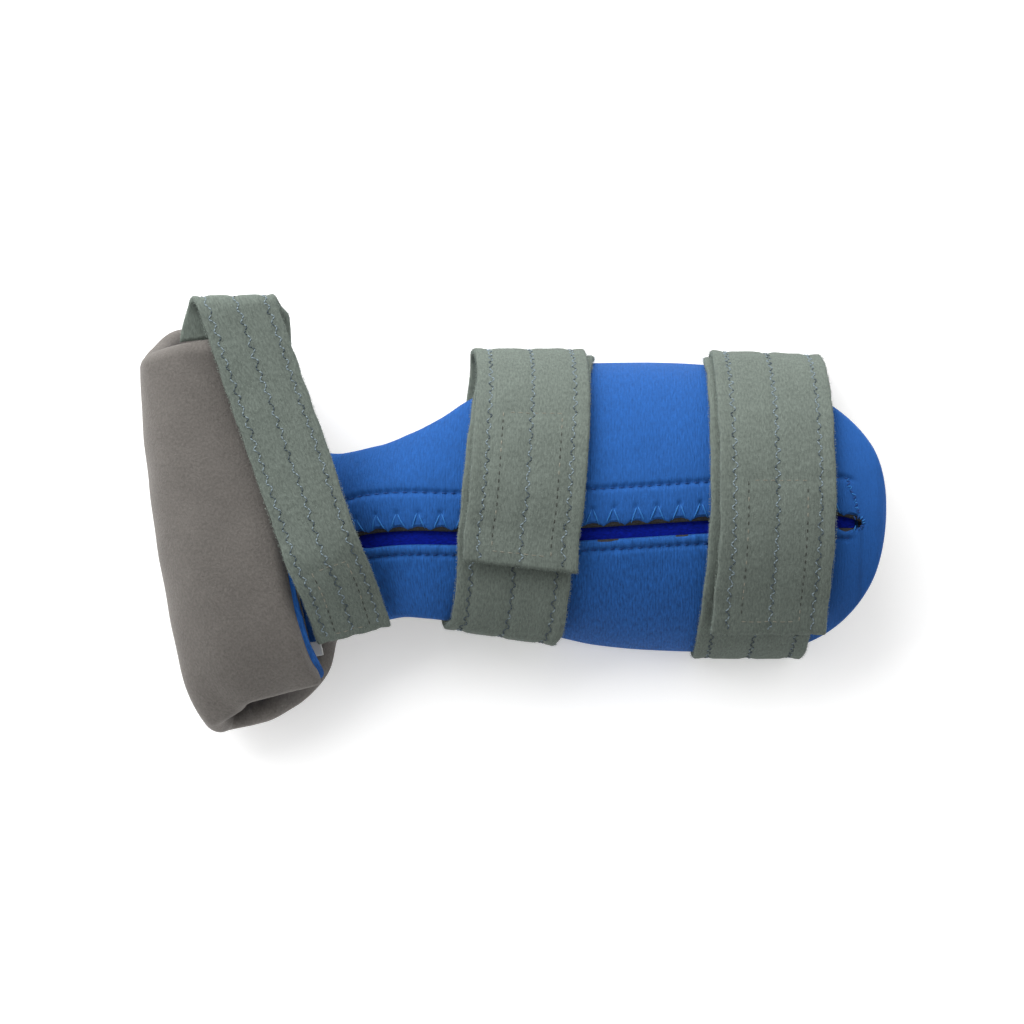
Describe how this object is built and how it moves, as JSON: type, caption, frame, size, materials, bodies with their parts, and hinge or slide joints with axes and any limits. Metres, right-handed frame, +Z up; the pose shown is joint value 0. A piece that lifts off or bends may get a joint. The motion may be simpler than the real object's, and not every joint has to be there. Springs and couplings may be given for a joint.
{
  "type": "resting hand splint",
  "caption": "Padded resting hand splint with a forearm trough, narrow wrist, curled hand grip and wrapped loop straps.",
  "frame": {"origin": "middle of the underside of the bounding box, on the surface that the splint lies on", "axes": "+X from the curled grip to the elbow end, +Y towards the thumb side, +Z up, out of the blue outer side"},
  "size_m": [0.2496, 0.1464, 0.0512],
  "materials": {
    "cover": "blue knit-faced neoprene, matte",
    "lining": "warm grey knit-faced neoprene, matte",
    "strip": "royal blue loop tape, fuzzy",
    "strap": "sage grey brushed loop strap, fuzzy",
    "label": "plain white woven label"
  },
  "bodies": {
    "root": {"outer_cover": "cover", "lining": "lining", "closure_strip": "strip", "strap_forearm": "strap", "strap_wrist": "strap", "strap_hand": "strap", "care_label": "label"}
  },
  "joints": []
}
